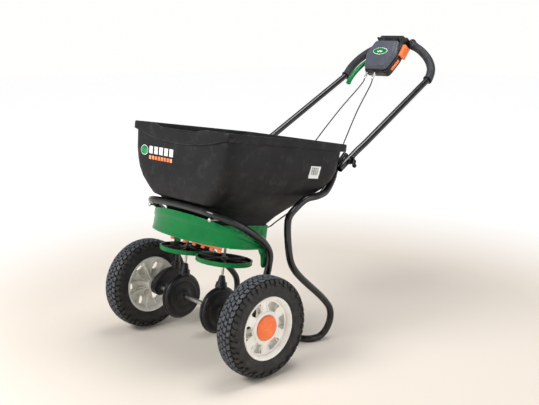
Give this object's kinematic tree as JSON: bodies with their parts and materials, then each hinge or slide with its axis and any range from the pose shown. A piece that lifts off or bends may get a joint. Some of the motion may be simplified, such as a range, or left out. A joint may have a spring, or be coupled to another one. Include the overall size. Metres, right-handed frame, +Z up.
{
  "type": "broadcast spreader",
  "caption": "Walk-behind granule spreader: square hopper over counter-rotating spinner discs geared to a wheeled axle, bent-tube stand and folding push handle with control console.",
  "frame": {"origin": "middle of the outer box, on the floor", "axes": "+X to the spreader left side as its user stands behind it, +Y back towards the handle, +Z up"},
  "size_m": [0.6438, 1.1382, 0.9661],
  "materials": {
    "hopper_plastic": "textured matte",
    "green_plastic": "glossy moulded",
    "orange_plastic": "satin moulded",
    "powder_coat": "semi-gloss powder coat",
    "zinc": "zinc plated",
    "tyre_rubber": "dusty tread",
    "rim_plastic": "satin moulded",
    "grip_foam": "closed-cell foam",
    "cable_jacket": "satin",
    "console_plastic": "fine texture",
    "black_plastic": "satin moulded"
  },
  "bodies": {
    "chassis": {"hopper": "hopper_plastic", "shroud": "green_plastic", "outlet_plate": "black_plastic", "front_tube": "powder_coat", "stand_foot": "powder_coat", "cable_left_lower": "cable_jacket", "cable_right_lower": "cable_jacket", "leg_left": "powder_coat", "leg_right": "powder_coat", "axle_bracket_left": "black_plastic", "axle_bracket_right": "black_plastic", "axle_bush_left": "black_plastic", "axle_bush_right": "black_plastic", "frame_bolt_left": "zinc", "frame_bolt_right": "zinc", "gear_case_inner_left": "black_plastic", "gear_case_inner_right": "black_plastic", "gear_case_outer_left": "black_plastic", "gear_case_outer_right": "black_plastic"},
    "drive_axle": {"axle": "zinc", "ring_gear_left": "black_plastic", "ring_gear_right": "black_plastic", "rim_left": "rim_plastic", "tyre_left": "tyre_rubber", "hub_cap_left": "orange_plastic"},
    "free_wheel": {"rim_right": "rim_plastic", "tyre_right": "tyre_rubber", "hub_cap_right": "orange_plastic"},
    "gate": {"shut_off_gate": "black_plastic"},
    "side_shield": {"side_shield": "orange_plastic"},
    "handle": {"handle_bow": "powder_coat", "console_base": "black_plastic", "console_cover": "console_plastic", "console_badge": "green_plastic", "phone_rest": "black_plastic", "cable_ferrule_left": "zinc", "cable_ferrule_right": "zinc", "cable_left_upper": "cable_jacket", "cable_right_upper": "cable_jacket", "handle_leg_left": "powder_coat", "handle_leg_right": "powder_coat", "foam_grip_left": "grip_foam", "foam_grip_right": "grip_foam", "fold_bolt_left": "zinc", "fold_bolt_right": "zinc"},
    "shield_slider": {"side_shield_slider": "orange_plastic"},
    "shut_off_lever": {"shut_off_lever": "green_plastic"},
    "rate_dial": {"rate_dial": "black_plastic"},
    "rotor_left": {"rotor_dish_left": "green_plastic", "rotor_vanes_left": "black_plastic", "rotor_shaft_left": "zinc", "agitator_left": "zinc", "pinion_left": "black_plastic"},
    "wing_knob_left": {"wing_knob_left": "black_plastic"},
    "rotor_right": {"rotor_dish_right": "green_plastic", "rotor_vanes_right": "black_plastic", "rotor_shaft_right": "zinc", "agitator_right": "zinc", "pinion_right": "black_plastic"},
    "wing_knob_right": {"wing_knob_right": "black_plastic"}
  },
  "joints": [
    {"name": "axle_spin", "type": "hinge", "parent": "chassis", "child": "drive_axle", "pos_m": [0, -0.41909, 0.15], "axis": [1, 0, 0], "continuous": true},
    {"name": "free_wheel_spin", "type": "hinge", "parent": "drive_axle", "child": "free_wheel", "pos_m": [-0.2854, -0.41909, 0.15], "axis": [1, 0, 0], "continuous": true},
    {"name": "rotor_left_spin", "type": "hinge", "parent": "chassis", "child": "rotor_left", "pos_m": [0.0912, -0.39382, 0.30799], "axis": [0, 0.158, 0.9874], "continuous": true},
    {"name": "rotor_right_spin", "type": "hinge", "parent": "chassis", "child": "rotor_right", "pos_m": [-0.0912, -0.39382, 0.30799], "axis": [0, 0.158, 0.9874], "continuous": true},
    {"name": "handle_fold", "type": "hinge", "parent": "chassis", "child": "handle", "pos_m": [0, 0.02944, 0.57346], "axis": [1, 0, 0], "range_deg": [0, 66], "deforming": ["cable_left_upper", "cable_right_upper"]},
    {"name": "wing_knob_left_turn", "type": "hinge", "parent": "handle", "child": "wing_knob_left", "pos_m": [0.23, 0.02944, 0.57346], "axis": [1, 0, 0], "continuous": true},
    {"name": "wing_knob_right_turn", "type": "hinge", "parent": "handle", "child": "wing_knob_right", "pos_m": [-0.23, 0.02944, 0.57346], "axis": [1, 0, 0], "continuous": true},
    {"name": "shut_off_lever_pull", "type": "hinge", "parent": "handle", "child": "shut_off_lever", "pos_m": [-0.08, 0.45694, 0.86782], "axis": [1, 0, 0], "range_deg": [0, 30]},
    {"name": "gate_slide", "type": "slide", "parent": "chassis", "child": "gate", "axis": [0, 0.9874, -0.158], "range_m": [0, 0.026]},
    {"name": "shield_slider_slide", "type": "slide", "parent": "handle", "child": "shield_slider", "axis": [0, -0.6018, -0.7986], "range_m": [0, 0.022]},
    {"name": "side_shield_slide", "type": "slide", "parent": "chassis", "child": "side_shield", "axis": [1, 0, 0], "range_m": [0, 0.046]},
    {"name": "rate_dial_turn", "type": "hinge", "parent": "handle", "child": "rate_dial", "pos_m": [0, 0.48736, 0.87495], "axis": [0, -0.7986, 0.6018], "range_deg": [0, 270]}
  ],
  "couplings": [
    {"joint": "rotor_left_spin", "follows": "axle_spin", "ratio": -5},
    {"joint": "rotor_right_spin", "follows": "axle_spin", "ratio": 5},
    {"joint": "gate_slide", "follows": "shut_off_lever_pull", "m_per_rad": 0.049651},
    {"joint": "side_shield_slide", "follows": "shield_slider_slide", "ratio": 2.0907}
  ]
}
